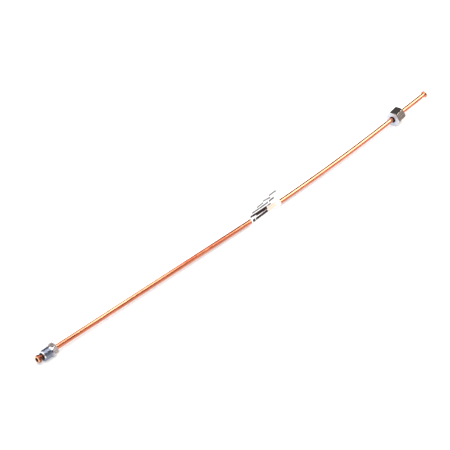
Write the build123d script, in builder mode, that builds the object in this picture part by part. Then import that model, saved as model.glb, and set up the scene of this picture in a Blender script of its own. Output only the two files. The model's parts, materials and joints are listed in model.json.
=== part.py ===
"""Brake line: a hard copper pipe with formed flares, its two loose tube nuts and a paper label.

Millimetres, +Z up, the table at z = 0. The origin is on the table under the middle of the
male nut's hexagon. The pipe leaves it along +X, nearly level, and bends gently to the left.
"""
import os
from math import acos, atan2, cos, degrees, radians, sin, tan

from build123d import *

# Pipe: drawn copper tube
pipe_diameter = 4.75
pipe_wall = 0.9
near_run = 255.0
bend_length = 225.0
end_run = 69.0
bend_yaw = 3.85
bend_start_height = 4.3

# Convex flare, formed on the near end
convex_flare_diameter = 7.4
convex_flare_rim = 1.3
convex_back_angle = 42.0
convex_front_length = 1.5
convex_crown_bulge = 0.16
convex_mouth_diameter = 3.8
convex_tip_diameter = 4.8

# Double flare, formed on the far end
double_flare_diameter = 7.2
double_flare_rim = 0.9
double_back_angle = 45.0
double_mouth_diameter = 5.9
double_mouth_angle = 45.0
flare_edge_radius = 0.3

# Male nut
male_thread_diameter = 10.0
male_thread_length = 8.3
male_hex = 11.0
male_hex_length = 6.4
male_back_face = 10.8
male_shoulder_angle = 60.0
male_bore_clearance = 0.14
male_seat_depth = 0.7
male_nose_chamfer = 0.8
male_seat_gap = 0.05
male_gap_to_flare = 2.4

# Female nut
female_thread_diameter = 10.0
female_thread_depth = 0.45
female_hex = 14.0
female_length = 13.6
female_back_wall = 5.0
female_bore_clearance = 0.5
female_seat_depth = 0.5
female_countersink = 0.45
female_face = 13.6
female_mouth_chamfer = 0.6
female_centre_to_tip = 50.1
female_play = 0.05

# Both nuts
hex_chamfer_angle = 30.0
nut_edge_break = 0.2

# Paper label, folded round the pipe and stuck to itself
tip_to_label = 271.6
label_length = 41.5
label_gap = 0.2
paper_thickness = 0.15
flag_height = 14.0
flag_lean_near = 5.0
flag_lean_far = -14.0
flag_curl_depth = 0.9
label_sections = 12

pipe_radius = pipe_diameter / 2
bore_radius = pipe_radius - pipe_wall
pipe_length = near_run + bend_length + end_run

# The convex flare's stations along the pipe, from its tip
convex_radius = convex_flare_diameter / 2
convex_back_length = (convex_radius - pipe_radius) / tan(radians(convex_back_angle))
convex_flare_length = convex_front_length + convex_flare_rim + convex_back_length
convex_funnel_length = convex_mouth_diameter / 2 - bore_radius

# The double flare's stations along the pipe, back from its tip
double_radius = double_flare_diameter / 2
double_back_length = (double_radius - pipe_radius) / tan(radians(double_back_angle))
double_flare_length = double_flare_rim + double_back_length
double_funnel_length = (double_mouth_diameter / 2 - bore_radius) / tan(radians(double_mouth_angle))

# The male nut's stations along the pipe, from the pipe's tip
male_bore_radius = pipe_radius + male_bore_clearance
male_seated_nose = convex_flare_length - male_seat_depth + male_seat_gap
male_nose = male_seated_nose + male_gap_to_flare
male_hex_centre = male_nose + male_thread_length + male_hex_length / 2

# The female nut lies askew, as far as its bore round the pipe and its thread round the passing
# flare both allow. Its axis crosses the pipe's at the pivot
female_bore_radius = pipe_radius + female_bore_clearance
female_minor_radius = female_thread_diameter / 2 - female_thread_depth
bore_sway = female_bore_clearance - female_play
flare_sway = female_minor_radius - double_radius - female_play
female_skew = atan2(
    bore_sway + flare_sway, female_length - female_mouth_chamfer - female_countersink)
female_pivot = female_countersink + bore_sway / tan(female_skew)
pivot_to_tip = female_centre_to_tip + female_length / 2 - female_pivot

# The pipe's fall to the bend and its rise after it carry both nuts flat on the table
fall = atan2(male_hex / 2 - bend_start_height, near_run - male_hex_centre)
rise = (female_hex / 2 - bend_start_height + bend_length * fall / 2) / (
    bend_length / 2 + end_run - pivot_to_tip)
near_direction = Vector(cos(fall), 0, -sin(fall))
end_direction = Vector(
    cos(rise) * cos(radians(bend_yaw)), cos(rise) * sin(radians(bend_yaw)), sin(rise))
bend_angle = acos(near_direction.dot(end_direction))
bend_radius = bend_length / bend_angle
pipe_tip = Vector(0, 0, male_hex / 2) - near_direction * male_hex_centre
bend_plane = Plane(origin=pipe_tip, x_dir=near_direction, z_dir=near_direction.cross(end_direction))



def pipe_route(near_trim, far_trim):
    """Straight run, one long arc and straight run in the tilted bend plane, cut short at each end."""
    with BuildLine(bend_plane) as route:
        near_line = Line((near_trim, 0), (near_run, 0))
        bend_arc = JernArc(near_line @ 1, near_line % 1, bend_radius, degrees(bend_angle))
        Line(bend_arc @ 1, bend_arc @ 1 + (bend_arc % 1) * (end_run - far_trim))
    return route.line


far_tip = pipe_route(0, 0) @ 1
near_plane = Plane(origin=pipe_tip, x_dir=near_direction, z_dir=bend_plane.z_dir)
far_plane = Plane(origin=far_tip, x_dir=-end_direction, z_dir=bend_plane.z_dir)

# Pipe: a hollow sweep between two turned flare profiles, each drawn from its tip inwards
with BuildPart() as pipe:
    with BuildSketch(near_plane):
        with BuildLine():
            mouth = Line((0, convex_mouth_diameter / 2), (0, convex_tip_diameter / 2))
            crown = ThreePointArc(
                mouth @ 1,
                ((convex_front_length - convex_crown_bulge) / 2,
                 (convex_tip_diameter / 2 + convex_radius) / 2 + convex_crown_bulge),
                (convex_front_length, convex_radius))
            rim = Line(crown @ 1, (convex_front_length + convex_flare_rim, convex_radius))
            back = Line(rim @ 1, (convex_flare_length, pipe_radius))
            root = Line(back @ 1, (convex_flare_length, bore_radius))
            inside = Line(root @ 1, (convex_funnel_length, bore_radius))
            Line(inside @ 1, mouth @ 0)
        make_face()
    revolve(axis=Axis(pipe_tip, near_direction))
    with BuildSketch(far_plane):
        with BuildLine():
            lip = Line((0, double_mouth_diameter / 2), (0, double_radius - flare_edge_radius))
            edge = TangentArc(
                lip @ 1, (flare_edge_radius, double_radius), tangent=(0, 1))
            band = Line(edge @ 1, (double_flare_rim, double_radius))
            cone = Line(band @ 1, (double_flare_length, pipe_radius))
            neck = Line(cone @ 1, (double_flare_length, bore_radius))
            throat = Line(neck @ 1, (double_funnel_length, bore_radius))
            Line(throat @ 1, lip @ 0)
        make_face()
    revolve(axis=Axis(far_tip, end_direction))
    plain_route = pipe_route(convex_flare_length, double_flare_length)
    with BuildSketch(Plane(origin=plain_route @ 0, z_dir=near_direction)):
        Circle(pipe_radius)
        Circle(bore_radius, mode=Mode.SUBTRACT)
    sweep(path=plain_route)
pipe.part.label = "pipe"


def hexagon_nut_blank(across_flats, length, low_face, high_face, high_angle=hex_chamfer_angle):
    """Hexagon prism along local +Z from 0 to length, turned down to a round face at each end.

    Each turned cone rises from its face at hex_chamfer_angle, or at high_angle at the high end.
    """
    corner_radius = across_flats / 2 / cos(radians(30))
    low_turned = (corner_radius - low_face / 2) * tan(radians(hex_chamfer_angle))
    high_turned = (corner_radius - high_face / 2) * tan(radians(high_angle))
    with BuildPart() as blank:
        with BuildSketch():
            RegularPolygon(across_flats / 2, 6, major_radius=False)
        extrude(amount=length)
        with BuildSketch(Plane.XZ):
            with BuildLine():
                Polyline(
                    (0, 0), (low_face / 2, 0), (corner_radius, low_turned),
                    (corner_radius, length - high_turned), (high_face / 2, length),
                    (0, length), close=True)
            make_face()
        revolve(axis=Axis.Z, mode=Mode.INTERSECT)
    return blank.part


# Male nut: drawn nose up along local +Z, then laid with its nose towards the near tip
male_plane = Plane(
    origin=(male_hex_length / 2, 0, male_hex / 2), x_dir=(0, 1, 0), z_dir=(-1, 0, 0))
with BuildPart() as male_nut:
    add(hexagon_nut_blank(
        male_hex, male_hex_length, male_back_face, male_thread_diameter, male_shoulder_angle))
    with BuildSketch(Plane.XY.offset(male_hex_length)):
        Circle(male_thread_diameter / 2)
    extrude(amount=male_thread_length)
    chamfer(male_nut.faces().sort_by(Axis.Z)[-1].edges(), male_nose_chamfer)
    Hole(male_bore_radius)
    nose_face = male_nut.faces().sort_by(Axis.Z)[-1]
    back_face = male_nut.faces().sort_by(Axis.Z)[0]
    chamfer(nose_face.edges().sort_by(SortBy.RADIUS)[0], male_seat_depth)
    chamfer(back_face.edges().filter_by(GeomType.CIRCLE).sort_by(SortBy.RADIUS)[0], nut_edge_break)
male_nut.part = male_plane.from_local_coords(male_nut.part)
male_nut.part.label = "male_nut"

# Female nut: drawn mouth up along local +Z, then laid level and askew on the end run
female_yaw = radians(bend_yaw) + (female_skew ** 2 - rise ** 2) ** 0.5
female_direction = Vector(cos(female_yaw), sin(female_yaw), 0)
pivot_point = far_tip - end_direction * pivot_to_tip
female_plane = Plane(
    origin=pivot_point - female_direction * female_pivot,
    x_dir=(-female_direction.Y, female_direction.X, 0), z_dir=female_direction)
with BuildPart() as female_nut:
    add(hexagon_nut_blank(female_hex, female_length, female_face, female_face))
    with BuildSketch(Plane.XZ):
        with BuildLine():
            Polyline(
                (0, 0), (female_bore_radius + female_countersink, 0),
                (female_bore_radius, female_countersink),
                (female_bore_radius, female_back_wall - female_seat_depth),
                (female_bore_radius + female_seat_depth, female_back_wall),
                (female_minor_radius, female_back_wall),
                (female_minor_radius, female_length - female_mouth_chamfer),
                (female_minor_radius + female_mouth_chamfer, female_length),
                (0, female_length), close=True)
        make_face()
    revolve(axis=Axis.Z, mode=Mode.SUBTRACT)
female_nut.part = female_plane.from_local_coords(female_nut.part)
female_nut.part.label = "female_nut"

# Label: a strip folded round the pipe, its two ends stuck together as a flag that slowly turns over
sleeve_inner = pipe_radius + label_gap
sleeve_outer = sleeve_inner + paper_thickness
bend_centre = pipe_tip + near_direction * near_run + bend_plane.y_dir * bend_radius


def bend_frame(distance_from_tip):
    """Plane across the pipe at a distance along it on the bend: local +Y up, +X to the left side."""
    turn = (distance_from_tip - near_run) / bend_radius
    along = near_direction * cos(turn) + bend_plane.y_dir * sin(turn)
    point = bend_centre + (near_direction * sin(turn) - bend_plane.y_dir * cos(turn)) * bend_radius
    left = Vector(0, 0, 1).cross(along).normalized()
    return Plane(origin=point, x_dir=left, z_dir=along)


def folded_section(lean):
    """Keyhole across the label: the wrap's outer circle and the flag's curled strip, leaning by degrees."""
    low = sleeve_inner + paper_thickness / 2
    high = pipe_radius + flag_height
    middle = (low + high) / 2
    with BuildSketch() as keyhole:
        with BuildLine():
            right = ThreePointArc(
                (paper_thickness, low), (paper_thickness + flag_curl_depth, middle), (paper_thickness, high))
            top = Line(right @ 1, (-paper_thickness, high))
            left_side = ThreePointArc(
                top @ 1, (-paper_thickness + flag_curl_depth, middle), (-paper_thickness, low))
            Line(left_side @ 1, right @ 0)
        make_face()
        Circle(sleeve_outer)
    return keyhole.sketch.rotate(Axis.Z, lean)


with BuildPart() as label:
    for section in range(label_sections):
        share = section / (label_sections - 1)
        with BuildSketch(bend_frame(tip_to_label + share * label_length)):
            add(folded_section(flag_lean_near + share * (flag_lean_far - flag_lean_near)))
    loft(ruled=True)
    with BuildSketch(bend_frame(tip_to_label)):
        Circle(sleeve_inner)
    revolve(
        axis=Axis(bend_centre, bend_plane.z_dir),
        revolution_arc=degrees(label_length / bend_radius), mode=Mode.SUBTRACT)
label.part.label = "label"

os.makedirs("parts", exist_ok=True)
export_step(pipe.part, "parts/pipe.step")
export_step(male_nut.part, "parts/male_nut.step")
export_step(female_nut.part, "parts/female_nut.step")
export_step(label.part, "parts/label.step")

print("pipe length", round(pipe_length, 2), "bend radius", round(bend_radius, 1),
      "bend angle", round(degrees(bend_angle), 2))
print("fall", round(degrees(fall), 3), "rise", round(degrees(rise), 3),
      "female yaw", round(degrees(female_yaw), 3), "female pivot", round(female_pivot, 3))
print("near tip", pipe_tip, "far tip", far_tip, "female pivot", pivot_point)
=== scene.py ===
"""Looks of a copper brake line: its flared pipe, two tube nuts and folded paper label, on a white table.

Metres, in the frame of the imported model: +Z up, the table at z = 0, the pipe along +X.
"""
import json
from math import acos, atan, cos, pi, radians, sin, tan

import bpy
import numpy as np
from bpy.props import FloatProperty, FloatVectorProperty, PointerProperty
from mathutils import Matrix, Vector


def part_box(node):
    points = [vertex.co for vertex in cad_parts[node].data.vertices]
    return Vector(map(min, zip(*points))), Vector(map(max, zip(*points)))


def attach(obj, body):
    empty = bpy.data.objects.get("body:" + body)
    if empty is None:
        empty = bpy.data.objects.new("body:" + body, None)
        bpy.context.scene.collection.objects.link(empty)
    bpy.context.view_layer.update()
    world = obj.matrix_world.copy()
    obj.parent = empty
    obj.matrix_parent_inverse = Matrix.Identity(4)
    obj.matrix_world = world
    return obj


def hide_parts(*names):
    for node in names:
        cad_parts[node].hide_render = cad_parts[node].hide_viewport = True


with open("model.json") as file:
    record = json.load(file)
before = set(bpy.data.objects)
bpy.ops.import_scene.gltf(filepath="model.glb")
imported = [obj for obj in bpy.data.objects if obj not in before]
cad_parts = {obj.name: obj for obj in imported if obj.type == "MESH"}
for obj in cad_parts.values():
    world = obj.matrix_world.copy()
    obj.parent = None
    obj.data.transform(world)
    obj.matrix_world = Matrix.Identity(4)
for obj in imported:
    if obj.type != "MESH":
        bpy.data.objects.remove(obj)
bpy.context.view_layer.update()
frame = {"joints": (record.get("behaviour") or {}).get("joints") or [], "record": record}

bl_info = {
    "name": "Brake Line Looks",
    "version": (1, 0, 0),
    "blender": (4, 5, 0),
    "location": "View3D > Sidebar > Brake Line",
    "description": "Builds the visible pipe, nuts and label of a brake line",
    "category": "Object",
}

PIPE_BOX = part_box("pipe")
MALE_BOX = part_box("male_nut")
FEMALE_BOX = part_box("female_nut")
MOUNTS = {mount["name"]: mount for mount in frame["record"]["mounts"]}
SLIDES = {joint["name"]: joint for joint in frame["joints"]}
NEAR_LENGTH = MALE_BOX[1].x - MALE_BOX[0].x
TABLE_Z = 0.0
ROWS_PER_PITCH = 20
LONGEST_STEP = 0.004
UP = np.array((0.0, 0.0, 1.0))


# Settings that a user would change


def length(name, description, default):
    """A length in metres, shown with its unit."""
    return FloatProperty(
        name=name, description=description, default=default, min=0.0, precision=5,
        subtype="DISTANCE", unit="LENGTH")


def angle(name, description, degrees):
    """An angle, kept in radians and shown in degrees."""
    return FloatProperty(
        name=name, description=description, default=radians(degrees), subtype="ANGLE", unit="ROTATION")


def share(name, description, default):
    """A number from nought to one."""
    return FloatProperty(
        name=name, description=description, default=default, min=0.0, max=1.0, subtype="FACTOR")


def power(name, description, watts):
    """The power of a light panel."""
    return FloatProperty(name=name, description=description, default=watts, min=0.0, unit="POWER")


def colour(name, description, default):
    """A linear colour."""
    return FloatVectorProperty(
        name=name, description=description, default=default, min=0.0, max=1.0, size=3,
        subtype="COLOR")


class PipeSettings(bpy.types.PropertyGroup):
    """Sizes and colours of the copper pipe and its two flares."""

    diameter: length("Diameter", "Outside diameter of the drawn tube", 0.00475)
    wall: length("Wall", "Wall of the tube", 0.0009)
    near_run: length("Near run", "Straight run from the near tip to the bend", 0.255)
    bend_length: length("Bend length", "Length of the long bend", 0.225)
    end_run: length("End run", "Straight run from the bend to the far tip", 0.069)
    convex_diameter: length("Convex flare", "Widest diameter of the near flare", 0.0074)
    convex_front: length("Convex front", "Length of the near flare's round crown", 0.0015)
    convex_rim: length("Convex rim", "Length of the near flare's cylindrical rim", 0.0013)
    convex_back_angle: angle("Convex back", "Slope of the cone behind the near flare", 42.0)
    convex_mouth: length("Convex mouth", "Diameter of the hole in the near tip", 0.0038)
    convex_tip: length("Convex tip", "Diameter of the flat ring round that hole", 0.0048)
    double_diameter: length("Double flare", "Widest diameter of the far flare", 0.0072)
    double_rim: length("Double rim", "Length of the far flare's rim", 0.0009)
    double_mouth: length("Double mouth", "Diameter of the far flare's open mouth", 0.0059)
    light_copper: colour("Light copper", "Bright bare copper", (0.60, 0.19, 0.09))
    deep_copper: colour("Deep copper", "Copper in its drawing lines", (0.45, 0.105, 0.048))
    tarnish: colour("Tarnish", "Brown film in patches", (0.18, 0.05, 0.025))
    # Burnished copper, lightened further as a painted highlight on the near flare's crown.
    burnished_highlight_copper: colour("Formed copper", "Copper burnished by the flaring tool", (0.84, 0.45, 0.25))
    # Painted shade on the near flare's rim and on the low side of its crown.
    rim_shade_copper: colour("Rim copper", "Tarnished rim of the near flare", (0.26, 0.062, 0.03))
    # Painted shade: the bore and the neck behind the near flare are coloured nearly black where shade falls.
    shade: colour("Oxide", "Dark oxide in the bore and behind the near flare", (0.018, 0.007, 0.005))
    tarnish_share: share("Tarnish share", "How far the brown film covers the copper", 0.45)


class MaleNutSettings(bpy.types.PropertyGroup):
    """Sizes of the near nut, whose thread is outside."""

    hex_length: length("Hexagon length", "Length of the hexagon", 0.0064)
    thread_diameter: length("Thread", "Outside diameter of the thread", 0.010)
    pitch: length("Pitch", "Pitch of the thread", 0.001)
    back_face: length("Back face", "Diameter of the turned back face", 0.0108)
    shoulder_angle: angle("Shoulder", "Slope of the cone in front of the hexagon", 60.0)
    bore: length("Bore", "Diameter of the bore", 0.00503)
    seat_depth: length("Seat", "Depth of the countersink that presses on the flare", 0.0007)
    nose_chamfer: length("Nose chamfer", "Chamfer at the start of the thread", 0.0008)
    groove: share("Groove", "Depth of the groove as a share of the pitch", 0.3)


class FemaleNutSettings(bpy.types.PropertyGroup):
    """Sizes of the far nut, whose thread is inside."""

    length: length("Length", "Length of the nut", 0.0136)
    pitch: length("Pitch", "Pitch of the thread", 0.001)
    face: length("Face", "Diameter of each turned end face", 0.0136)
    bore: length("Bore", "Diameter of the back bore", 0.00575)
    countersink: length("Countersink", "Depth of the back bore's countersink", 0.00045)
    back_wall: length("Back wall", "Thickness of the back wall", 0.005)
    thread_bore: length("Thread bore", "Diameter inside the thread's crests", 0.0091)
    mouth_chamfer: length("Mouth chamfer", "Chamfer of the threaded mouth", 0.0006)
    seat: length("Seat", "Countersink at the bottom of the thread", 0.0005)
    groove: share("Groove", "Depth of the groove as a share of the pitch", 0.54)


class PlatingSettings(bpy.types.PropertyGroup):
    """Colours and edges shared by the two plated nuts."""

    edge_cut: length("Edge", "How far each turned edge is softened", 0.00012)
    corner_radius: length("Corner radius", "Rounding along the hexagon's corners", 0.0004)
    chamfer_angle: angle("Chamfer", "Slope of the chamfers on a hexagon's ends", 30.0)
    near_zinc: colour("Near zinc", "Plating of the near nut", (0.62, 0.61, 0.64))
    near_lines: colour("Near lines", "The near nut's plating in its lines", (0.34, 0.33, 0.36))
    far_zinc: colour("Far zinc", "Plating of the far nut", (0.74, 0.80, 0.90))
    far_lines: colour("Far lines", "The far nut's plating in its lines", (0.42, 0.45, 0.50))
    oiled_zinc: colour("Oiled zinc", "Oily turned parts of the near nut", (0.21, 0.235, 0.31))
    # Painted highlight on the upper side of the near nut's nose.
    nose_highlight_zinc: colour("Worn zinc", "Plating rubbed bright on the near nut's nose", (0.92, 0.93, 0.96))
    passivation: colour("Passivation", "Yellow-brown film on the flats", (0.42, 0.30, 0.20))
    # Painted shade: nearly black steel in the bores and in the thread's grooves.
    bore_shade_steel: colour("Bare steel", "Oily unplated steel of the bores", (0.03, 0.028, 0.03))
    near_film: share("Near film", "How far the film covers the near nut's flats", 0.45)
    far_film: share("Far film", "How far the film covers the far nut's flats", 0.85)
    near_oil: share("Near oil", "How far oil darkens the near nut's turned faces", 0.95)


class LabelSettings(bpy.types.PropertyGroup):
    """Sizes of the paper label and the lean of its flag."""

    start: length("Start", "Distance from the near tip to the label", 0.2716)
    width: length("Width", "Width of the label along the pipe", 0.0415)
    flag_height: length("Flag height", "Height of the flag above the pipe", 0.0138)
    paper: length("Paper", "Thickness of the paper", 0.0001)
    gap: length("Gap", "Glue between the paper and the pipe", 0.00003)
    root_angle: angle("Root", "Where the two halves leave the pipe, from its top", 24.0)
    lean_near: angle("Near lean", "Lean of the flag towards the viewer at its near end", 5.0)
    lean_far: angle("Far lean", "Lean of the flag away from the viewer at its far end", 14.0)
    curl: length("Curl", "Sideways bow of the flag", 0.0008)
    ripple: length("Ripple", "Sideways ripple of the flag's free edge", 0.00022)
    paper_white: colour("Paper", "Colour of the paper", (0.90, 0.90, 0.90))
    shown_through: colour("Shown through", "Paper stuck tight to the copper", (0.68, 0.53, 0.43))
    ink: colour("Ink", "Colour of the print", (0.028, 0.009, 0.009))


class StudioSettings(bpy.types.PropertyGroup):
    """Camera, table and lights."""

    elevation: angle("Elevation", "How far the camera looks down", 37.0)
    heading: angle("Heading", "How far the camera is turned left of +X", 42.912)
    distance: length("Distance", "From the camera to the point it looks at", 1.87727)
    target_x: length("Target X", "Point on the table that the camera looks at", 0.238452)
    target_y: length("Target Y", "Point on the table that the camera looks at", 0.017755)
    lens: FloatProperty(name="Lens", description="Focal length in millimetres", default=160.0)
    table: colour("Table", "Colour of the table", (0.64, 0.64, 0.64))
    table_patches: colour("Table patches", "Colour of its faint patches", (0.58, 0.58, 0.58))
    near_panel: power("Near panel", "Panel over the near end", 3.4)
    far_panel: power("Far panel", "Panel over the far end", 19.0)
    side_panel: power("Side panel", "Low panel on the right", 2.2)
    back_panel: power("Back panel", "Panel behind the camera", 19.0)
    streak_panel: power("Streak panel", "Strip that the near nut mirrors", 0.7)
    top_panel: power("Top panel", "Square panel over the near end", 5.0)
    left_panel: power("Left panel", "Low panel on the left", 4.2)
    room: FloatProperty(name="Room", description="Strength of the room's light", default=1.0, min=0.0)


# Numbers on whole arrays


def unit(vector):
    """The vector at length one."""
    return vector / np.linalg.norm(vector, axis=-1, keepdims=True)


def eased(value):
    """3 t² - 2 t³ of the value held between nought and one."""
    held = np.clip(value, 0.0, 1.0)
    return held * held * (3 - 2 * held)


class PipeRoute:
    """The pipe's centreline: a straight run, one long arc and a straight run, in one tilted plane.

    Both runs point along the nuts' slides, so the arc turns through the angle between them.
    """

    def __init__(self, pipe):
        near = unit(np.array(SLIDES["male_nut_slide"]["axis"], float))
        end = unit(np.array(SLIDES["female_nut_slide"]["axis"], float))
        self.near = near
        self.inward = unit(np.cross(np.cross(near, end), near))
        self.near_run = pipe.near_run
        self.bend_length = pipe.bend_length
        self.length = pipe.near_run + pipe.bend_length + pipe.end_run
        self.radius = pipe.bend_length / acos(float(near @ end))
        nut_height = MALE_BOX[1].z / 2
        lowest = pipe.convex_tip / 2 * abs(near[2])
        self.tip = np.array((0.0, 0.0, nut_height)) + near * (PIPE_BOX[0].x + lowest) / near[0]

    def at(self, distance):
        """Places, directions, left and up at distances from the near tip.

        place = tip + near a + R (near sin t + inward (1 - cos t)) + direction c, where a, R t and c are
        the lengths travelled on the first run, the arc and the last run.
        """
        distance = np.asarray(distance, float)[..., None]
        first = np.minimum(distance, self.near_run)
        turn = np.clip(distance - self.near_run, 0.0, self.bend_length) / self.radius
        last = np.maximum(distance - self.near_run - self.bend_length, 0.0)
        along = self.near * np.cos(turn) + self.inward * np.sin(turn)
        arc = self.near * np.sin(turn) + self.inward * (1 - np.cos(turn))
        place = self.tip + self.near * first + arc * self.radius + along * last
        left = unit(np.cross(UP, along))
        return place, along, left, np.cross(along, left)


def straight_axis(origin, along):
    """Places, directions, left and up at distances along a straight axis, as PipeRoute.at gives."""
    along = unit(np.array(along, float))
    left = unit(np.cross(UP, along))
    above = np.cross(along, left)

    def at(distance):
        place = np.asarray(origin, float) + np.asarray(distance, float)[..., None] * along
        return place, *(np.broadcast_to(side, place.shape) for side in (along, left, above))

    return at


def rounded_profile(corners, cuts, inserted=None):
    """Rows of a closed profile with its corners softened; corners is an array (corner, column, 2).

    A corner with a cut becomes the parabola (1 - t)² a + 2 t (1 - t) corner + t² b between the points
    a and b that lie a cut's length before and after it, or 0.34 of the side where that is less. One row
    more, 1.4 cuts from the corner, keeps the flats flat. inserted holds rows to add after a corner, by
    its number. Also returns the number of each row's corner.
    """
    inserted = inserted or {}
    t = np.linspace(0.0, 1.0, 5)[:, None, None]
    rows = []
    owners = []
    for number, (corner, cut) in enumerate(zip(corners, cuts)):
        first = len(rows)
        if not cut:
            rows.append(corner[None])
        else:
            into = corner - corners[number - 1]
            out = corners[(number + 1) % len(corners)] - corner
            room_in = np.linalg.norm(into, axis=-1, keepdims=True)
            room_out = np.linalg.norm(out, axis=-1, keepdims=True)
            step_in = into / room_in * np.minimum(cut, 0.34 * room_in)
            step_out = out / room_out * np.minimum(cut, 0.34 * room_out)
            before, after = corner - step_in, corner + step_out
            arc = (1 - t) ** 2 * before + 2 * t * (1 - t) * corner + t**2 * after
            rows += [(corner - 1.4 * step_in)[None], arc, (corner + 1.4 * step_out)[None]]
        if number in inserted:
            rows.append(inserted[number])
        owners += [number] * sum(map(len, rows[first:]))
    return np.concatenate(rows), np.array(owners)


def path_lengths(points):
    """How far along a path each of its points (row, 2) lies."""
    steps = np.linalg.norm(np.diff(points, axis=0), axis=1)
    return np.concatenate([[0.0], np.cumsum(steps)])


def with_steps(profile, longest):
    """The closed profile (row, 2) with points added on it, so that no step is longer than given."""
    closed = np.vstack([profile, profile[:1]])
    travelled = path_lengths(closed)
    wanted = np.union1d(travelled, np.arange(0.0, travelled[-1], longest))
    spread = np.stack([np.interp(wanted, travelled, closed[:, k]) for k in (0, 1)], axis=-1)
    return spread[:-1]


def hexagon_radius(angles, across_flats, corner_radius):
    """Distance from the axis to a hexagon at angles from the middle of a flat.

    On a flat it is a / cos φ. Near a corner, where a small circle of radius ρ joins two flats with its
    centre c from the axis, it is c cos ψ + √(ρ² - c² sin² ψ), with ψ the angle from the corner.
    """
    apothem = across_flats / 2
    centre = (apothem - corner_radius) / cos(pi / 6)
    from_flat = np.abs((angles + pi / 6) % (pi / 3) - pi / 6)
    from_corner = pi / 6 - from_flat
    on_flat = apothem / np.cos(from_flat)
    under = np.maximum(corner_radius**2 - (centre * np.sin(from_corner)) ** 2, 0.0)
    on_corner = centre * np.cos(from_corner) + np.sqrt(under)
    return np.where(from_flat < atan(centre * 0.5 / apothem), on_flat, on_corner)


def nut_angles():
    """Angles once round a nut, close together at the hexagon's corners."""
    half = np.array([0.0, 6.0, 12.0, 18.0, 23.0, 26.0, 27.5, 28.3, 29.1])
    sector = np.concatenate([-half[:0:-1], half, [30.0]])
    return np.radians(np.add.outer(60.0 * np.arange(6), sector).ravel())


def thread_depth(along, angles, pitch):
    """Share of the thread's depth below its crest, for a right-hand thread.

    The phase is (distance / pitch - angle / 2π) mod 1. The depth falls along a flank from a crest 0.6 of
    the pitch wide to a root 0.13 wide.
    """
    phase = (along / pitch - angles / (2 * pi)) % 1.0
    from_crest = np.minimum(phase, 1.0 - phase)
    return eased((from_crest - 0.3) * 7.5)


def thread_rows(nut, angles, crest, outward, blind_end, open_end, chamfer):
    """Rows (radius, distance) of a nut's thread, from its blind end to its open end.

    radius = crest + outward max(groove d, chamfer - (open end - distance)), with d the thread's depth,
    which eases in over 1.5 pitches from the blind end. outward is 1 for a thread in a bore and -1 for
    one round a shank.
    """
    count = int((open_end - blind_end) / nut.pitch * ROWS_PER_PITCH) + 1
    rows = np.linspace(blind_end, open_end, count)[1:-1, None]
    depth = thread_depth(rows, angles, nut.pitch) * eased((rows - blind_end) / (1.5 * nut.pitch))
    cut = np.maximum(nut.groove * nut.pitch * depth, chamfer - (open_end - rows))
    return np.stack(np.broadcast_arrays(crest + outward * cut, rows), axis=-1)


# Meshes from arrays


def grid_faces(rows, columns, rows_closed, columns_closed):
    """Corner numbers of the quadrilaterals between neighbouring grid points."""
    row = np.arange(rows if rows_closed else rows - 1)[:, None]
    column = np.arange(columns if columns_closed else columns - 1)[None, :]
    next_row = (row + 1) % rows
    next_column = (column + 1) % columns
    quads = [row * columns + column, row * columns + next_column,
             next_row * columns + next_column, next_row * columns + column]
    return np.stack(np.broadcast_arrays(*quads), axis=-1).reshape(-1, 4)


def mesh_from_grid(
        name, points, rows_closed=False, columns_closed=False, outward=None, attributes=None):
    """A smooth mesh object through a grid of points (row, column, 3), facing out.

    outward is the side that the faces turn to, for an open grid, and nought leaves them as they are. A
    closed grid turns out by its volume. attributes are further values at the points, three numbers each,
    by name.
    """
    rows, columns = points.shape[:2]
    flat = points.reshape(-1, 3)
    faces = grid_faces(rows, columns, rows_closed, columns_closed)
    a, b, c, d = (flat[faces[:, k]] for k in range(4))
    area = np.cross(c - a, d - b) / 2
    middle = (a + b + c + d) / 4
    facing = (area * middle).sum() if outward is None else (area @ np.array(outward)).sum()
    if facing < 0:
        faces = faces[:, ::-1]
    mesh = bpy.data.meshes.new(name)
    mesh.vertices.add(len(flat))
    mesh.vertices.foreach_set("co", flat.astype(np.float32).ravel())
    mesh.loops.add(faces.size)
    mesh.loops.foreach_set("vertex_index", faces.astype(np.int32).ravel())
    mesh.polygons.add(len(faces))
    mesh.polygons.foreach_set("loop_start", np.arange(0, faces.size, 4, dtype=np.int32))
    mesh.polygons.foreach_set("use_smooth", np.ones(len(faces), bool))
    mesh.update(calc_edges=True)
    for key, values in (attributes or {}).items():
        layer = mesh.attributes.new(key, "FLOAT_VECTOR", "POINT")
        spread = np.broadcast_to(values, points.shape).astype(np.float32)
        layer.data.foreach_set("vector", spread.ravel())
    if mesh.validate():
        raise RuntimeError(f"{name} has faulty faces")
    piece = bpy.data.objects.new(name, mesh)
    bpy.context.scene.collection.objects.link(piece)
    return piece


def turned_piece(name, axis_at, profile, angles, turned):
    """A closed ring of a piece: a profile of (radius, distance) carried once round an axis.

    point = place(distance) + radius (up cos θ + left sin θ). The attribute local holds radius cos θ,
    radius sin θ and the distance; finish holds 1 on rows that a lathe turned, and the radius.
    """
    radius, distance = profile[..., 0], profile[..., 1]
    place, _, left, above = axis_at(distance)
    upward, sideways = radius * np.cos(angles), radius * np.sin(angles)
    across = radius[..., None] * (above * np.cos(angles)[:, None] + left * np.sin(angles)[:, None])
    local = np.stack(np.broadcast_arrays(upward, sideways, distance), axis=-1)
    surface = np.stack(np.broadcast_arrays(turned[:, None], radius, 0.0), axis=-1)
    return mesh_from_grid(
        name, place + across, rows_closed=True, columns_closed=True,
        attributes={"local": local, "finish": surface})


# Materials


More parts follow.
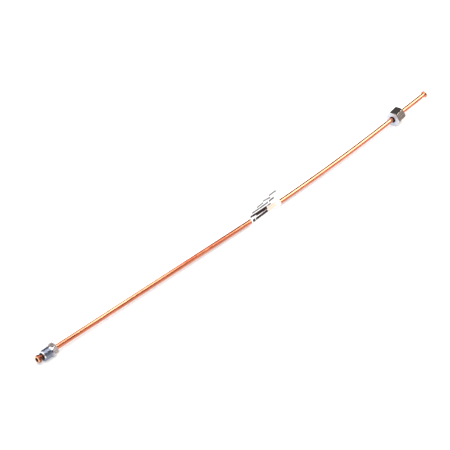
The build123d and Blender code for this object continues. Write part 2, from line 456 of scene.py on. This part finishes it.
class Wire:
    """A shader output that works in Python expressions: each operator adds its Math node."""

    def __init__(self, paint, socket):
        self.paint = paint
        self.socket = socket

    def _math(self, operation, left, right=0.0):
        return self.paint.node("ShaderNodeMath", {"operation": operation}, {0: left, 1: right})

    def __add__(self, other):
        return self._math("ADD", self, other)

    def __sub__(self, other):
        return self._math("SUBTRACT", self, other)

    def __rsub__(self, other):
        return self._math("SUBTRACT", other, self)

    def __mul__(self, other):
        return self._math("MULTIPLY", self, other)

    def __gt__(self, other):
        return self._math("GREATER_THAN", self, other)

    def __lt__(self, other):
        return self._math("LESS_THAN", self, other)

    def __abs__(self):
        return self._math("ABSOLUTE", self)

    __radd__ = __add__
    __rmul__ = __mul__


class Shading:
    """Adds nodes to one node tree, by naming them."""

    def __init__(self, tree):
        self.tree = tree
        self.tree.nodes.clear()

    def node(self, kind, settings=None, inputs=None, output=0):
        """Adds a node: settings first, then the values or links of its sockets. Returns one output."""
        made = self.tree.nodes.new(kind)
        for key, value in (settings or {}).items():
            if key == "stops":
                self._set_stops(made.color_ramp, value)
            else:
                setattr(made, key, value)
        for key, value in (inputs or {}).items():
            if isinstance(value, Wire):
                self.tree.links.new(value.socket, made.inputs[key])
            else:
                made.inputs[key].default_value = value
        return Wire(self, made.outputs[output])

    @staticmethod
    def _set_stops(ramp, stops):
        while len(ramp.elements) < len(stops):
            ramp.elements.new(1.0)
        for element, (position, value) in zip(ramp.elements, stops):
            element.position = position
            element.color = (*value, 1.0)

    def attribute(self, name):
        """The three numbers that a piece keeps at its points under a name."""
        return self.node("ShaderNodeAttribute", {"attribute_name": name}, output="Vector")

    def parts(self, vector):
        """The three numbers of a vector."""
        split = self.node("ShaderNodeSeparateXYZ", inputs={0: vector})
        sockets = split.socket.node.outputs
        return tuple(Wire(self, sockets[k]) for k in range(3))

    def vector(self, x, y, z):
        """A vector from three numbers."""
        return self.node("ShaderNodeCombineXYZ", inputs={0: x, 1: y, 2: z})

    def stretched(self, vector, scale):
        """The vector times a scale on each axis."""
        return self.node("ShaderNodeVectorMath", {"operation": "MULTIPLY"}, {0: vector, 1: scale})

    def noise(self, vector, scale, detail=3.0, roughness=0.5):
        """Smooth noise, about 0.5 on average."""
        return self.node("ShaderNodeTexNoise", inputs={
            "Vector": vector, "Scale": scale, "Detail": detail, "Roughness": roughness})

    def between(self, value, low, high):
        """Rises smoothly from 0 to 1 as the value goes from low to high."""
        return self.node(
            "ShaderNodeMapRange", {"interpolation_type": "SMOOTHSTEP"},
            {"Value": value, "From Min": low, "From Max": high})

    def mix(self, factor, first, second):
        """A colour between two colours."""
        return self.node("ShaderNodeMix", {"data_type": "RGBA"}, {
            0: factor, 6: self._opaque(first), 7: self._opaque(second)}, output=2)

    @staticmethod
    def _opaque(value):
        return value if isinstance(value, Wire) else (*value, 1.0)


class Paint(Shading):
    """A material whose surface is one Principled BSDF."""

    def __init__(self, name, **constants):
        self.material = bpy.data.materials.new(name)
        self.material.use_nodes = True
        super().__init__(self.material.node_tree)
        self.shader = self.tree.nodes.new("ShaderNodeBsdfPrincipled")
        output = self.tree.nodes.new("ShaderNodeOutputMaterial")
        self.tree.links.new(self.shader.outputs["BSDF"], output.inputs["Surface"])
        for socket, value in constants.items():
            self.shader.inputs[socket.replace("_", " ")].default_value = value

    def bumped(self, height, distance):
        """Links a Bump node, whose distance is in metres, to the shader's normal."""
        normal = self.node("ShaderNodeBump", inputs={"Height": height, "Distance": distance})
        self.link("Normal", normal)

    def link(self, socket, value):
        """Links a value to one of the shader's sockets."""
        self.tree.links.new(value.socket, self.shader.inputs[socket])


# Where the copper's finish, its painted highlight and its painted shade change, in metres: along the pipe
# from the back of the near flare's rim, inwards from its edge, and up from its axis
DRAWN_AFTER = (0.0007, 0.0032)
NECK_AFTER = 0.0034
NECK_REACH = (0.0020, 0.0012)
RIM_INSET = (0.0008, 0.0002)
LOW_CROWN = (-0.0006, -0.0022)
MOUTH_EDGE = 0.0003
# Strength of the lines where there are none, about their average
LINES_MEAN = 0.56


def copper_paint(pipe):
    """Drawn copper with fine lines along the tube, soft blotches and a thin brown film in patches.

    The near flare has no lines. Its crown is burnished by the flaring tool and lightened further as a painted
    highlight; its rim and the low side of its crown are darker as painted shade. The bore and the neck behind
    that flare are painted nearly black as shade.
    """
    paint = Paint("drawn_copper", Metallic=1.0, Coat_Roughness=0.12)
    local = paint.attribute("local")
    up, _, along = paint.parts(local)
    _, radius, _ = paint.parts(paint.attribute("finish"))
    rim_back = pipe.convex_front + pipe.convex_rim
    edge, mouth = pipe.convex_diameter / 2, pipe.convex_mouth / 2
    drawn = paint.between(along, rim_back + DRAWN_AFTER[0], rim_back + DRAWN_AFTER[1])
    fine = paint.noise(paint.stretched(local, (1.0, 1.0, 0.012)), 2600.0, detail=4.0, roughness=0.65)
    lines = LINES_MEAN + (fine - LINES_MEAN) * drawn
    soft_lines = paint.noise(paint.stretched(local, (1.0, 1.0, 0.06)), 620.0, detail=2.0)
    blotches = paint.noise(paint.stretched(local, (1.0, 1.0, 0.25)), 190.0, detail=4.0)
    film = paint.between(blotches * 0.7 + soft_lines * 0.3, 0.52, 0.72) * drawn
    lightness = paint.between(lines * 0.5 + soft_lines * 0.5, 0.36, 0.62)
    bare = paint.mix(lightness, pipe.deep_copper, pipe.light_copper)
    # Painted shade darkens the near flare's rim and the low side of its crown; the rest of its crown is
    # burnished copper lightened as a painted highlight.
    rim = paint.between(radius, edge - RIM_INSET[0], edge - RIM_INSET[1])
    low = paint.between(up, *LOW_CROWN) * 0.6
    flare_shade = rim + low * (1 - rim)
    flare_light_and_shade = paint.mix(flare_shade, pipe.burnished_highlight_copper, pipe.rim_shade_copper)
    bare = paint.mix(drawn, flare_light_and_shade, bare)
    outside = paint.mix(film * pipe.tarnish_share, bare, pipe.tarnish)
    # Painted shade: the bore and the neck behind the near flare go nearly black, rougher and without coat.
    inside = paint.between(radius, mouth + MOUTH_EDGE, mouth)
    neck = paint.between(abs(along - (rim_back + NECK_AFTER)), *NECK_REACH) * 0.8
    painted_shade = inside + neck * (1 - inside)
    paint.link("Base Color", paint.mix(painted_shade * 0.98, outside, pipe.shade))
    paint.link("Roughness", 0.12 + lines * 0.1 + film * 0.1 + painted_shade * 0.3 + (1 - drawn) * 0.05)
    paint.link("Coat Weight", 0.35 - painted_shade * 0.35)
    paint.bumped(lines * 0.6 + soft_lines * 0.6 + blotches * 0.5, 0.00001)
    return paint.material


# Where the nuts' painted shade and painted highlight change, in metres: out from the axis, below the crests,
# and up from the axis
BORE_EDGE = (0.0035, 0.0032)
GROOVE_DEPTH = (0.00004, 0.0002)
NOSE_RADIUS = (0.0035, 0.0040)
NOSE_TOP = (0.0, 0.002)


def zinc_paint(name, plating, base, line_colour, film_share, oil_share=0.0, thread=None):
    """Bright zinc on steel, with drawing lines along the flats and lathe rings on the turned faces.

    film_share is how far a yellow-brown film covers the flats, and oil_share how far oil darkens the
    turned faces. thread holds the crest's radius and the two ends of an outer thread: its groove is darkened
    as painted shade, and the nose in front of it has a painted highlight on its upper side. The bore is
    painted nearly black as shade.
    """
    paint = Paint(name, Metallic=1.0)
    local = paint.attribute("local")
    upward, _, along = paint.parts(local)
    turned, radius, _ = paint.parts(paint.attribute("finish"))
    drawn = paint.noise(paint.stretched(local, (1.0, 1.0, 0.04)), 1700.0, detail=4.0, roughness=0.6)
    rings = paint.noise(paint.vector(radius * 9000.0, along * 9000.0, 0.0), 1.0, detail=2.0)
    lines = drawn * (1 - turned) + rings * turned
    cloud = paint.noise(local, 420.0, detail=3.0)
    bright = paint.mix(paint.between(lines, 0.35, 0.6), line_colour, base)
    film = (0.6 + paint.between(cloud, 0.3, 0.7) * 0.4) * film_share * (1 - turned)
    plated = paint.mix(film, bright, plating.passivation)
    plated = paint.mix(turned * oil_share, plated, plating.oiled_zinc)
    # Painted shade: the bore, and for an outer thread its grooves, go towards nearly black steel, and
    # rougher.
    painted_shade = paint.between(radius, *BORE_EDGE)
    if thread:
        crest, start, end = thread
        groove = paint.between(radius, crest - GROOVE_DEPTH[0], crest - GROOVE_DEPTH[1])
        groove = groove * turned * (along > start) * (along < end)
        painted_shade = painted_shade + groove * 0.8 * (1 - painted_shade)
        # Painted highlight on the upper side of the nose ring.
        nose_highlight = (along > end) * paint.between(upward, *NOSE_TOP) * paint.between(radius, *NOSE_RADIUS)
        plated = paint.mix(nose_highlight, plated, plating.nose_highlight_zinc)
    paint.link("Base Color", paint.mix(painted_shade * 0.92, plated, plating.bore_shade_steel))
    dry = turned * ((1 - oil_share) * 0.3)
    paint.link("Roughness", 0.12 + lines * 0.1 + cloud * 0.06 + painted_shade * 0.3 + dry)
    paint.bumped(lines + cloud * 0.5, 0.00001)
    return paint.material


# Rows of print on the viewer's side of the label, from the bottom up: start and end as (along, up from the
# pipe's middle) in mm, height in mm, marks per mm, how full of marks, 1 being nearly full, and their strength
PRINT_ROWS = (
    ((1.6, 1.4), (5.0, 1.45), 2.8, 0.2, 1.4, 1.0),
    ((5.8, 1.5), (22.8, 1.85), 2.3, 0.35, 1.1, 1.0),
    ((8.2, 4.5), (23.8, 4.0), 1.8, 1.1, 1.0, 1.0),
    ((4.0, 5.4), (23.6, 5.1), 1.1, 1.3, 1.0, 0.9),
    ((0.3, 6.3), (23.4, 6.2), 2.2, 0.6, 1.1, 1.0),
    ((24.4, 6.4), (29.4, 6.5), 1.7, 0.4, 1.1, 0.95),
    ((2.7, 9.6), (13.0, 9.8), 1.6, 0.8, 0.95, 0.95),
    ((13.4, 9.8), (25.6, 10.0), 1.8, 0.5, 0.9, 0.95),
    ((27.0, 10.1), (34.7, 10.2), 1.8, 0.5, 1.0, 0.95),
    ((9.0, 12.9), (18.4, 13.3), 1.7, 0.7, 0.9, 0.9),
    ((18.4, 15.0), (30.0, 12.6), 1.7, 0.8, 0.95, 0.8),
    ((28.2, 15.2), (39.6, 14.8), 1.6, 0.8, 0.95, 0.85),
)


# The patch where the paper lies tight on the copper, in metres: its middle as (along, up from the pipe's
# middle), and how far from there it starts to fade and ends
TIGHT_MIDDLE = (0.0295, 0.0025)
TIGHT_ALONG = (0.005, 0.008)
TIGHT_ACROSS = (0.0012, 0.0032)


def print_ink(paint, along, across):
    """Ink on the paper: in each row of print, plain dashes where a noise along the row is low."""
    ink = 0.0
    for number, (start, end, height, rate, fullness, strength) in enumerate(PRINT_ROWS):
        slope = (end[1] - start[1]) / (end[0] - start[0])
        middle = (along - start[0] / 1000) * slope + start[1] / 1000
        on_line = abs(across - middle) < height / 2000
        on_row = (along > start[0] / 1000) * (along < end[0] / 1000)
        marks = paint.noise(
            paint.vector(along * (rate * 1000), float(7 * number), 0.0), 1.0, detail=2.0)
        ink = ink + on_line * on_row * (marks < 0.3 + 0.4 * fullness) * strength
    return ink


def paper_paint(label):
    """White paper with a faint mottle and rows of plain dark marks that spell nothing."""
    paint = Paint("label_paper", Metallic=0.0, Specular_IOR_Level=0.05)
    flat = paint.node("ShaderNodeUVMap", {"uv_map": "strip"})
    along, across, _ = paint.parts(flat)
    fibres = paint.noise(flat, 2200.0, detail=4.0)
    printed = print_ink(paint, along, across) * (0.94 + fibres * 0.06)
    paper = paint.mix(fibres * 0.08, label.paper_white, (0.8, 0.8, 0.78))
    beyond_ends = paint.between(abs(along - TIGHT_MIDDLE[0]), *TIGHT_ALONG)
    beyond_sides = paint.between(abs(across - TIGHT_MIDDLE[1]), *TIGHT_ACROSS)
    tight = (1 - beyond_ends) * (1 - beyond_sides)
    paper = paint.mix(tight, paper, label.shown_through)
    paint.link("Base Color", paint.mix(printed, paper, label.ink))
    paint.link("Roughness", 0.62 + printed * 0.1)
    paint.bumped(fibres, 0.00001)
    return paint.material


def table_paint(studio):
    """A pale table top with a weak gloss, which glows a little as a light table does."""
    paint = Paint(
        "white_table", Metallic=0.0, Coat_Weight=0.25, Coat_Roughness=0.12,
        Emission_Color=(1.0, 1.0, 1.0, 1.0), Emission_Strength=0.4)
    place = paint.node("ShaderNodeTexCoord", output="Object")
    cloud = paint.noise(place, 9.0, detail=2.0)
    paint.link("Base Color", paint.mix(cloud * 0.04, studio.table, studio.table_patches))
    paint.link("Roughness", 0.42 + cloud * 0.06)
    return paint.material


def finish(piece, paint, slot, body, *nodes):
    """Gives a piece its material and the body it moves with, and hides the imported parts it stands for. slot
    is not used.
    """
    piece.data.materials.append(paint)
    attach(piece, body)
    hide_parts(*nodes)


# Pieces


def build_pipe(pipe):
    """The pipe: a closed profile, out along the outside, in at the far mouth and back down the bore.

    The near flare's crown is a quarter ellipse from the flat ring at the tip to the rim: its radius is
    tip + (convex - tip) sin a at the distance front (1 - cos a). A cone leads from the rim to the tube.
    """
    route = PipeRoute(pipe)
    outside, bore = pipe.diameter / 2, pipe.diameter / 2 - pipe.wall
    convex, double = pipe.convex_diameter / 2, pipe.double_diameter / 2
    tip, mouth, far_mouth = pipe.convex_tip / 2, pipe.convex_mouth / 2, pipe.double_mouth / 2
    near_back = pipe.convex_front + pipe.convex_rim
    near_root = near_back + (convex - outside) / tan(pipe.convex_back_angle)
    far_back = route.length - pipe.double_rim
    far_root = far_back - (double - outside)
    soft, tight, sharp = 0.0006, 0.00025, 0.0002
    crown = [
        (tip + (convex - tip) * sin(a), pipe.convex_front * (1 - cos(a)))
        for a in np.linspace(0.0, pi / 2, 9)]
    corners = [
        ((mouth, 0.0), sharp / 2),
        *((corner, 0.0) for corner in crown),
        ((convex, near_back), tight),
        ((outside, near_root), soft),
        ((outside, far_root), soft),
        ((double, far_back), tight),
        ((double, route.length), tight),
        ((far_mouth, route.length), sharp),
        ((bore, route.length - (far_mouth - bore)), soft),
        ((bore, mouth - bore), sharp),
    ]
    places, cuts = zip(*corners)
    profile, _ = rounded_profile(np.array(places)[:, None, :], cuts)
    profile = with_steps(profile[:, 0], LONGEST_STEP)
    around = np.radians(np.arange(0.0, 360.0, 6.0))
    return turned_piece("copper_pipe", route.at, profile[:, None, :], around, np.zeros(len(profile)))


def nut_profile(corners, angles, cut, thread_after, thread):
    """Rows of a nut's closed profile at each angle, and 1 for those a lathe turned, 0 for the flats.

    The flats run between the corners 2 and 3. The thread's rows follow the corner thread_after, and
    that corner and the next stay sharp.
    """
    cuts = [cut] * len(corners)
    cuts[thread_after:thread_after + 2] = (0.0, 0.0)
    grid = [np.stack(np.broadcast_arrays(r, s, angles)[:2], axis=-1) for r, s in corners]
    profile, owners = rounded_profile(np.stack(grid), cuts, {thread_after: thread})
    return profile, 1.0 - np.isin(owners, (2, 3))


def build_male_nut(nut, plating):
    """The near nut: a hexagon with a long turned cone in front, and a thread round a plain bore.

    Its distance runs from the back face to the nose. The back chamfer meets the flats at
    (r - back) tan β and the cone meets them at hexagon length - (r - crest) tan γ, with r the hexagon's
    radius at each angle, β the chamfer's slope and γ the shoulder's, so both edges are scalloped.
    """
    height = MALE_BOX[1].z - MALE_BOX[0].z
    nose = NEAR_LENGTH
    axis = straight_axis((MALE_BOX[1].x, 0.0, height / 2), MOUNTS["male_thread"]["axis"])
    angles = nut_angles()
    hexagon = hexagon_radius(angles, height, plating.corner_radius)
    back, bore, crest = nut.back_face / 2, nut.bore / 2, nut.thread_diameter / 2
    thread = thread_rows(nut, angles, crest, -1, nut.hex_length, nose, nut.nose_chamfer)
    bore_edge = 0.0002
    corners = (
        (bore + bore_edge, 0.0),
        (back, 0.0),
        (hexagon, (hexagon - back) * tan(plating.chamfer_angle)),
        (hexagon, nut.hex_length - (hexagon - crest) * tan(nut.shoulder_angle)),
        (crest, nut.hex_length),
        (crest - nut.nose_chamfer, nose),
        (bore + nut.seat_depth, nose),
        (bore, nose - nut.seat_depth),
        (bore, bore_edge),
    )
    profile, turned = nut_profile(corners, angles, plating.edge_cut, 4, thread)
    return turned_piece("male_tube_nut", axis, profile, angles, turned)


def build_female_nut(nut, plating):
    """The far nut: a hexagon with both ends chamfered, a countersunk back bore and a threaded mouth.

    Its distance runs from the back face to the mouth. Each chamfer meets the flats (r - face) tan β
    from its end, with r the hexagon's radius at each angle and β the chamfer's slope.
    """
    height = FEMALE_BOX[1].z - FEMALE_BOX[0].z
    mount = MOUNTS["female_thread"]
    back = np.array(mount["pos_m"]) - unit(np.array(mount["axis"], float)) * nut.length
    axis = straight_axis(back, mount["axis"])
    angles = nut_angles()
    hexagon = hexagon_radius(angles, height, plating.corner_radius)
    face, bore, crest = nut.face / 2, nut.bore / 2, nut.thread_bore / 2
    chamfer = (hexagon - face) * tan(plating.chamfer_angle)
    mouth, wall = nut.length, nut.back_wall
    thread = thread_rows(nut, angles, crest, 1, wall, mouth, nut.mouth_chamfer)[::-1]
    corners = (
        (bore + nut.countersink, 0.0),
        (face, 0.0),
        (hexagon, chamfer),
        (hexagon, mouth - chamfer),
        (face, mouth),
        (crest + nut.mouth_chamfer, mouth),
        (crest, wall),
        (bore + nut.seat, wall),
        (bore, wall - nut.seat),
        (bore, nut.countersink),
    )
    profile, turned = nut_profile(corners, angles, plating.edge_cut, 5, thread)
    return turned_piece("female_tube_nut", axis, profile, angles, turned)


def label_section(label, pipe_radius):
    """Half of the paper's section as points (across, up) from the pipe's foot to the flag's free edge.

    It follows the pipe's circle up to the root angle α from the top, then an arc of radius
    ρ = (r sin α - δ) / (1 - sin α) that ends upright, δ from the middle, and then a straight line.
    Also returns how far along the paper each point lies.
    """
    radius = pipe_radius + label.gap + label.paper / 2
    root = label.root_angle
    beside = 0.6 * label.paper
    fillet = (radius * sin(root) - beside) / (1 - sin(root))
    round_pipe = np.linspace(pi, root, 40)
    circle = radius * np.stack([np.sin(round_pipe), np.cos(round_pipe)], axis=-1)
    turn = np.linspace(root, pi / 2, 10)[1:]
    centre = np.array((beside + fillet, (radius + fillet) * cos(root)))
    arc = centre - fillet * np.stack([np.sin(turn), np.cos(turn)], axis=-1)
    rise = np.linspace(centre[1], pipe_radius + label.flag_height, 26)[1:]
    straight = np.stack(np.broadcast_arrays(beside, rise), axis=-1)
    section = np.vstack([circle, arc, straight])
    return section, path_lengths(section)


def build_label(label, pipe):
    """The label: a paper strip round the pipe, with its halves glued together as a flag that turns over.

    The section is carried along the pipe and turned by its lean. With s from 0 to 1 along the label and
    h from 0 at the flag's root to 1 at its edge, the flag bows sideways by curl sin(π h) cos(1.3 π s)
    and ripples by ripple h² sin(7 s + 2).
    """
    route = PipeRoute(pipe)
    pipe_radius = pipe.diameter / 2
    half, travelled = label_section(label, pipe_radius)
    section = np.vstack([half[::-1] * (-1.0, 1.0), half[1:]])
    across = np.concatenate([travelled[::-1], -travelled[1:]]) - pi * pipe_radius / 2
    s = np.linspace(0.0, 1.0, 70)[:, None]
    lean = label.lean_near * (1 - eased(s)) - label.lean_far * eased(s)
    high = np.clip((section[:, 1] - pipe_radius) / label.flag_height, 0.0, 1.0)
    bow = label.curl * np.sin(pi * high) * np.cos(1.3 * pi * s)
    ripple = label.ripple * high**2 * np.sin(7.0 * s + 2.0)
    sideways = section[:, 0] + bow + ripple
    upward = section[:, 1]
    place, _, left, above = route.at(label.start + label.width * s)
    turned_left = sideways * np.cos(lean) - upward * np.sin(lean)
    turned_up = upward * np.cos(lean) + sideways * np.sin(lean)
    points = place + left * turned_left[..., None] + above * turned_up[..., None]
    piece = mesh_from_grid("paper_label", points, outward=(0.0, 0.0, 0.0))
    strip = np.stack(np.broadcast_arrays(label.width * s, across), axis=-1).reshape(-1, 2)
    corner_points = np.empty(len(piece.data.loops), np.int32)
    piece.data.loops.foreach_get("vertex_index", corner_points)
    layer = piece.data.uv_layers.new(name="strip")
    layer.data.foreach_set("uv", strip[corner_points].astype(np.float32).ravel())
    solid = piece.modifiers.new("thickness", "SOLIDIFY")
    solid.thickness = label.paper
    solid.offset = 0.0
    return piece


# Operators


class BRAKELINE_OT_pipe(bpy.types.Operator):
    """Build the copper pipe with its two flares"""

    bl_idname = "brakeline.pipe"
    bl_label = "Copper pipe"

    def execute(self, context):
        pipe = context.scene.brake_pipe
        finish(build_pipe(pipe), copper_paint(pipe), "copper", "line", "pipe")
        return {"FINISHED"}


class BRAKELINE_OT_nuts(bpy.types.Operator):
    """Build the two plated tube nuts"""

    bl_idname = "brakeline.nuts"
    bl_label = "Tube nuts"

    def execute(self, context):
        scene = context.scene
        plating = scene.brake_plating
        nut = scene.brake_male_nut
        near = build_male_nut(nut, plating)
        far = build_female_nut(scene.brake_female_nut, plating)
        thread = (nut.thread_diameter / 2, nut.hex_length, NEAR_LENGTH - nut.nose_chamfer)
        near_paint = zinc_paint(
            "dark_zinc", plating, plating.near_zinc, plating.near_lines, plating.near_film,
            plating.near_oil, thread)
        far_paint = zinc_paint(
            "bright_zinc", plating, plating.far_zinc, plating.far_lines, plating.far_film)
        finish(near, near_paint, "plated_steel", "male_nut", "male_nut")
        finish(far, far_paint, "plated_steel_far", "female_nut", "female_nut")
        return {"FINISHED"}


class BRAKELINE_OT_label(bpy.types.Operator):
    """Build the folded paper label"""

    bl_idname = "brakeline.label"
    bl_label = "Paper label"

    def execute(self, context):
        label, pipe = context.scene.brake_label, context.scene.brake_pipe
        piece = build_label(label, pipe)
        finish(piece, paper_paint(label), "label_paper", "line", "label")
        return {"FINISHED"}


class BRAKELINE_OT_studio(bpy.types.Operator):
    """Build the table, the lights and the camera"""

    bl_idname = "brakeline.studio"
    bl_label = "Table, lights and camera"

    def execute(self, context):
        studio = context.scene.brake_studio
        build_table(studio)
        build_lights(studio)
        build_camera(studio)
        context.scene.view_settings.view_transform = "Standard"
        return {"FINISHED"}


# Half the length of the table, in metres
TABLE_REACH = 9.0
# Points on the table that the panels face
NEAR_NUT, NEAR_PIPE, FAR_NUT = (0.0, 0.0, TABLE_Z), (0.03, 0.0, TABLE_Z), (0.5, 0.01, TABLE_Z)
# The panels: name, as in the settings, size, place, the point that it faces, direction of its first side
PANELS = (
    ("near_panel", (0.75, 0.22), (0.635, 0.235, 0.855), NEAR_PIPE, (0.0, -1.0, 0.3)),
    ("far_panel", (1.0, 0.55), (1.462, -0.277, 1.129), FAR_NUT, (0.05, -0.9, -0.4)),
    ("side_panel", (1.2, 0.6), (0.96, -1.03, 0.51), NEAR_PIPE, (0.73, 0.68, 0.0)),
    ("back_panel", (0.9, 0.7), (-0.475, -0.823, 1.645), NEAR_PIPE, (1.0, -1.0, 0.0)),
    ("streak_panel", (0.25, 0.035), (0.52, -0.05, 0.73), NEAR_NUT, (0.0, -1.0, 0.3)),
    ("top_panel", (0.7, 0.7), (-0.045, 0.266, 0.9), NEAR_NUT, (1.0, 0.0, 0.0)),
    ("left_panel", (0.9, 0.4), (0.07, 1.42, 0.27), FAR_NUT, (1.0, 0.33, 0.0)),
)
# Light of the room by the sine of the height above the horizon
ROOM_STOPS = (
    (0.0, (0.36, 0.32, 0.29)),
    (0.16, (0.34, 0.32, 0.31)),
    (0.35, (0.10, 0.095, 0.095)),
    (0.72, (0.10, 0.10, 0.105)),
    (1.0, (0.4, 0.4, 0.42)),
)
# Light of the room's darker left wall and of its bright back
LEFT_WALL, BRIGHT_BACK = (0.03, 0.035, 0.055), (1.3, 1.32, 1.4)


def build_table(studio):
    """A large flat table top, 12 by 12 squares, at the height that the nuts rest on."""
    reach = np.linspace(-TABLE_REACH, TABLE_REACH, 13)
    x, y = np.meshgrid(reach, reach, indexing="ij")
    points = np.stack([x, y, np.full_like(x, TABLE_Z)], axis=-1)
    table = mesh_from_grid("table_top", points, outward=(0.0, 0.0, 1.0))
    table.data.materials.append(table_paint(studio))


def add_panel(name, watts, size, place, aim, along):
    """A rectangular light that faces a point, with its first side along a direction."""
    light = bpy.data.lights.new(name, "AREA")
    light.shape = "RECTANGLE"
    light.size, light.size_y = size
    light.energy = watts
    panel = bpy.data.objects.new(name, light)
    bpy.context.scene.collection.objects.link(panel)
    backward = (Vector(place) - Vector(aim)).normalized()
    above = backward.cross(Vector(along)).normalized()
    turn = Matrix((above.cross(backward), above, backward)).transposed()
    panel.location = place
    panel.rotation_euler = turn.to_euler()


def build_lights(studio):
    """The panels and the room: dim walls, a darker one on the left and a bright one at the back."""
    for name, size, place, aim, along in PANELS:
        add_panel(name, getattr(studio, name), size, place, aim, along)
    world = bpy.data.worlds.new("dim_room")
    world.use_nodes = True
    room = Shading(world.node_tree)
    direction = room.node("ShaderNodeTexCoord", output="Generated")
    forward, left, rise = room.parts(direction)
    walls = room.node("ShaderNodeValToRGB", {"stops": ROOM_STOPS}, {"Fac": rise})
    walls = room.mix(room.between(left, 0.25, 0.6) * 0.15, walls, LEFT_WALL)
    behind = room.between(forward, -0.42, -0.62) * room.between(left, -0.35, 0.1)
    light = room.node("ShaderNodeBackground", inputs={
        "Color": room.mix(behind, walls, BRIGHT_BACK), "Strength": studio.room})
    output = room.tree.nodes.new("ShaderNodeOutputWorld")
    room.tree.links.new(light.socket, output.inputs["Surface"])
    bpy.context.scene.world = world


def build_camera(studio):
    """A long lens that looks down on the table, at the photograph's heading and elevation."""
    data = bpy.data.cameras.new("camera")
    data.sensor_width = 36.0
    data.lens = studio.lens
    data.clip_end = 20.0
    camera = bpy.data.objects.new("camera", data)
    bpy.context.scene.collection.objects.link(camera)
    flat = Vector((cos(studio.heading), sin(studio.heading), 0.0)) * cos(studio.elevation)
    view = flat - Vector((0.0, 0.0, sin(studio.elevation)))
    camera.location = Vector((studio.target_x, studio.target_y, TABLE_Z)) - view * studio.distance
    camera.rotation_euler = view.to_track_quat("-Z", "Y").to_euler()
    bpy.context.scene.camera = camera


class BRAKELINE_PT_panel(bpy.types.Panel):
    """Lists the operators and the main settings"""

    bl_label = "Brake Line"
    bl_idname = "BRAKELINE_PT_panel"
    bl_space_type = "VIEW_3D"
    bl_region_type = "UI"
    bl_category = "Brake Line"

    def draw(self, context):
        layout = self.layout
        for operator in OPERATORS:
            layout.operator(operator.bl_idname)
        for name, group in SETTINGS.items():
            box = layout.box()
            settings = getattr(context.scene, name)
            for key in group.__annotations__:
                box.prop(settings, key)


SETTINGS = {
    "brake_pipe": PipeSettings,
    "brake_male_nut": MaleNutSettings,
    "brake_female_nut": FemaleNutSettings,
    "brake_plating": PlatingSettings,
    "brake_label": LabelSettings,
    "brake_studio": StudioSettings,
}
OPERATORS = (BRAKELINE_OT_pipe, BRAKELINE_OT_nuts, BRAKELINE_OT_label, BRAKELINE_OT_studio)


def register():
    """Registers the settings, operators and panel."""
    for name, group in SETTINGS.items():
        bpy.utils.register_class(group)
        setattr(bpy.types.Scene, name, PointerProperty(type=group))
    for operator in OPERATORS:
        bpy.utils.register_class(operator)
    bpy.utils.register_class(BRAKELINE_PT_panel)


def unregister():
    """Removes what register added."""
    bpy.utils.unregister_class(BRAKELINE_PT_panel)
    for operator in reversed(OPERATORS):
        bpy.utils.unregister_class(operator)
    for name, group in SETTINGS.items():
        delattr(bpy.types.Scene, name)
        bpy.utils.unregister_class(group)


def main():
    """Builds every piece through its operator."""
    register()
    bpy.ops.brakeline.pipe()
    bpy.ops.brakeline.nuts()
    bpy.ops.brakeline.label()
    bpy.ops.brakeline.studio()


if __name__ == "__main__":
    main()
